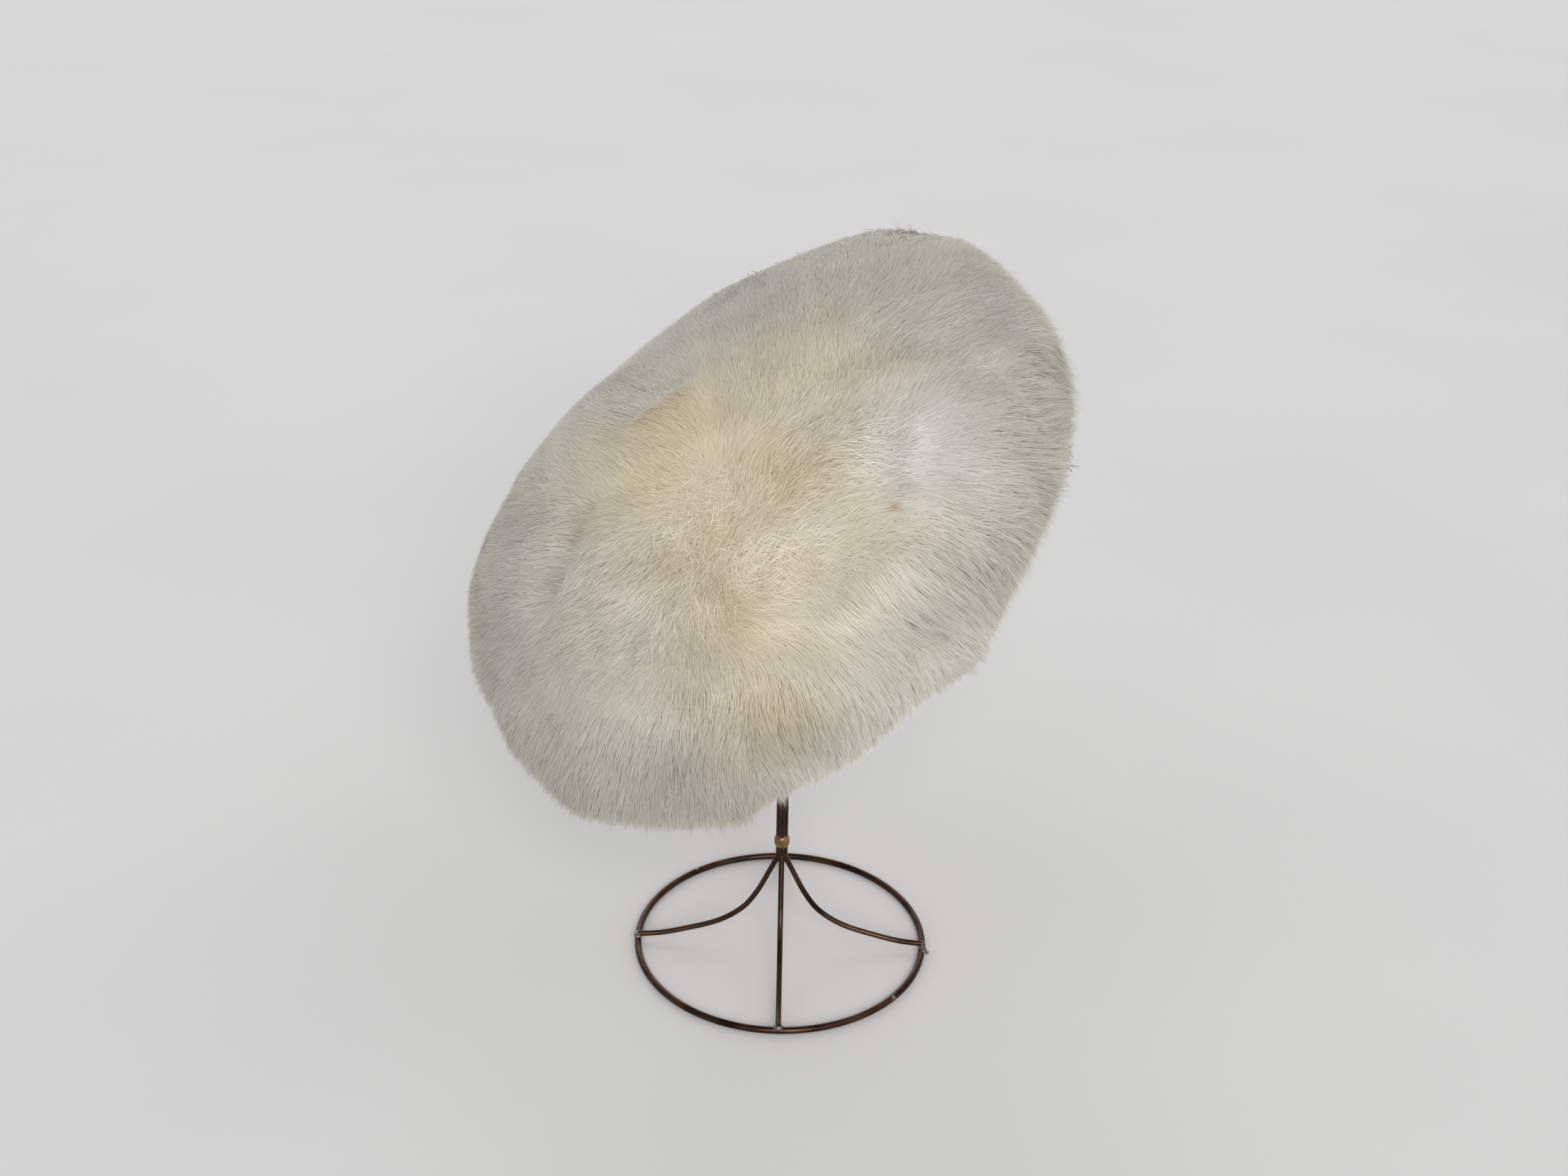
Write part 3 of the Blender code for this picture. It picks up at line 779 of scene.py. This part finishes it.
def grow_hairs(name, count, low, high, seed, shape, material, slot, node):
    turn, s = scatter(count, low, high, seed)
    for k, at in enumerate(range(0, count, PER_PIECE)):
        part = slice(at, at + PER_PIECE)
        hairs(f"{name}_{k + 1}", turn[part], s[part], 10 * seed + k, shape, material, node)


def make_fleece():
    crown_wool = wool_material("crown_wool")
    band_wool = wool_material("band_wool")
    crown = (crown_wool, "crown_wool", "crown_fleece")
    band = (band_wool, "band_wool", "band_fleece")
    bend = (1 - CROWN_FLAT) * HALF_WIDTH
    crown_back = []
    for i in range(5):
        t = math.pi / 2 * i / 4
        level = BAND_HEIGHT + 2 * GAP + (CROWN_RISE - GAP) * math.sin(t)
        crown_back.append((bend * (1 - math.cos(t)) - GAP, level))
    crown_back.append((0.55 * HALF_WIDTH, BAND_HEIGHT + CROWN_RISE + GAP))
    band_back = [(-GAP, BAND_HEIGHT - GAP), (-GAP, BAND_HEIGHT / 2), (-GAP, 0), (-2 * MM, -FUR_HANG / 2)]
    under_wool("crown_under_wool", SEAM_S + SEAM_OPEN, CROWN_END, 220, 90, crown_back, CROWN_DEEP_SHADE, *crown)
    under_wool("band_under_wool", 0.0, SEAM_S - SEAM_OPEN, 280, 110, band_back, BAND_DEEP_SHADE, *band)
    crown_shape = (CROWN_WIDTH, 3 * MM, 0.24, KITE)
    band_shape = (BAND_WIDTH, 7 * MM, 0.46, KITE)
    rim_shape = (RIM_WIDTH, 10 * MM, 0.75, STRAND)
    grow_hairs("crown_hairs", CROWN_HAIRS, SEAM_S - 0.04, 0.999, 101, crown_shape, *crown)
    grow_hairs("band_hairs", BAND_HAIRS, 0.05, SEAM_S + 0.05, 102, band_shape, *band)
    grow_hairs("rim_hairs", RIM_HAIRS, 0.0, 0.16, 103, rim_shape, *band)


# The stand


def wire(name, places, diameter, material, node, closed=False, taper=None):
    line = bpy.data.curves.new(name, "CURVE")
    line.dimensions = "3D"
    line.bevel_depth = diameter / 2
    line.bevel_resolution = 4
    line.use_fill_caps = True
    spline = line.splines.new("POLY")
    spline.points.add(len(places) - 1)
    for i, (point, place) in enumerate(zip(spline.points, places)):
        point.co = (*place, 1)
        point.radius = taper[i] if taper else 1
    spline.use_cyclic_u = closed
    line.materials.append(material)
    made = bpy.data.objects.new(name, line)
    bpy.context.scene.collection.objects.link(made)
    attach(made, "root")
    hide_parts(node)
    return made


def leg_places(turn):
    rows = [(LEG_END, LEG_LEVEL)] + [(out * RING_RADIUS, up * RING_RADIUS) for out, up in LEG_PATH]
    rows += [(STEM_SPREAD, up) for up in (LEG_JOIN * RING_RADIUS, LEG_STRAIGHT * RING_RADIUS, STEM_TOP)]
    fine = smooth_table(rows, 10)
    angle = math.radians(turn)
    return [STAND + Vector((out * math.cos(angle), out * math.sin(angle), up)) for out, up in fine]


def add_bead(mesh, turn, out, up, size, seed):
    """A lump of solder, wider along the ring than across it, with an uneven skin."""
    middle = Vector((out, 0, up))
    bead = bmesh.ops.create_icosphere(mesh, subdivisions=3, radius=1)["verts"]
    places = np.array([v.co for v in bead])
    uneven = 1 + 0.10 * waves(places, 1.6, 61 + seed) + 0.05 * waves(places, 0.7, 81 + seed)
    spin = Matrix.Rotation(math.radians(turn), 3, "Z")
    for v, swell in zip(bead, uneven):
        lump = Vector((v.co.x * 0.85, v.co.y * 1.3, v.co.z * 0.75)) * size * float(swell)
        v.co = STAND + spin @ (middle + lump)


def make_stand():
    bronze, brass, solder = (metal_material(name) for name in METALS)
    turns = [2 * math.pi * i / 96 for i in range(96)]
    ring = [STAND + Vector((LEG_END * math.cos(t), LEG_END * math.sin(t), RING_WIRE / 2)) for t in turns]
    wire("foot_ring", ring, RING_WIRE, bronze, "stand_base", closed=True)
    for k, turn in enumerate(LEG_TURNS):
        wire(f"leg_wire_{k + 1}", leg_places(turn), LEG_WIRE, bronze, "stand_base")
    levels = COLLAR_HEIGHT + COLLAR_LENGTH * np.linspace(-0.5, 0.5, len(COLLAR_SWELL))
    collar = [STAND + Vector((0, 0, level)) for level in levels]
    wire("solder_collar", collar, 2 * COLLAR_RADIUS, brass, "stand_base", taper=COLLAR_SWELL)
    made = bpy.data.meshes.new("solder_beads")
    beads = bmesh.new()
    for k, (turn, out, up, size) in enumerate(BEADS):
        add_bead(beads, turn, out, up, size, k)
    beads.to_mesh(made)
    beads.free()
    made.shade_smooth()
    add_piece("solder_beads", made, solder, "stand_base")
    dress("stand_top", bronze)


def dress(node, material):
    """Gives a CAD node that stays its material."""
    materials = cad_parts[node].data.materials
    materials.clear()
    materials.append(material)


def make_pelt():
    leather = leather_material("pelt_leather")
    for node in ("band_pelt", "crown_pelt"):
        dress(node, leather)


# Floor, light and camera

WORLD_LIGHT = 0.48
SUNS = (
    # name, the way it shines, strength, width in degrees
    ("key", (-0.12, 0.87, -0.49), 1.6, 30),
    ("fill", (-0.75, 0.25, -0.6), 0.25, 60),
    ("back", (0.1, -0.9, -0.4), 0.85, 60),
)


def make_floor():
    mesh = bmesh.new()
    bmesh.ops.create_grid(mesh, x_segments=1, y_segments=1, size=3.0)
    data = bpy.data.meshes.new("floor")
    mesh.to_mesh(data)
    mesh.free()
    floor = bpy.data.objects.new("floor", data)
    bpy.context.scene.collection.objects.link(floor)
    made, tree, shader = shader_tree("pale_floor")
    tree.links.new(ramp(tree, noise(tree, 3, 2), FLOOR_TONES), shader.inputs["Base Color"])
    shader.inputs["Roughness"].default_value = 0.9
    data.materials.append(made)


def sun(name, way, strength, soft):
    """A far light that shines along way. soft is its width in degrees."""
    data = bpy.data.lights.new(name, "SUN")
    data.energy = strength
    data.angle = math.radians(soft)
    made = bpy.data.objects.new(name, data)
    bpy.context.scene.collection.objects.link(made)
    made.rotation_mode = "QUATERNION"
    made.rotation_quaternion = Vector(way).to_track_quat("-Z", "Y")


def make_light():
    world = bpy.data.worlds.new("studio")
    bpy.context.scene.world = world
    world.use_nodes = True
    back = world.node_tree.nodes["Background"]
    back.inputs["Color"].default_value = (1, 1, 1, 1)
    back.inputs["Strength"].default_value = WORLD_LIGHT
    for name, way, strength, soft in SUNS:
        sun(name, way, strength, soft)
    bpy.context.scene.view_settings.view_transform = "Standard"


def make_camera():
    pitch, yaw, roll = (math.radians(v) for v in (PITCH, YAW, ROLL))
    ahead = Vector((math.sin(yaw) * math.cos(pitch), math.cos(yaw) * math.cos(pitch), math.sin(pitch)))
    right = Vector((math.cos(yaw), -math.sin(yaw), 0))
    up = right.cross(ahead)
    right, up = right * math.cos(roll) + up * math.sin(roll), up * math.cos(roll) - right * math.sin(roll)
    data = bpy.data.cameras.new("camera")
    data.sensor_width, data.lens = SENSOR, LENS
    data.clip_start, data.clip_end = 0.05, 20
    camera = bpy.data.objects.new("camera", data)
    bpy.context.scene.collection.objects.link(camera)
    matrix = Matrix((right, up, -ahead)).transposed().to_4x4()
    matrix.translation = STAND + Vector((0, -EYE_BACK, EYE_UP))
    camera.matrix_world = matrix
    bpy.context.scene.camera = camera


make_camera()
make_floor()
make_light()
make_stand()
make_pelt()
make_fleece()
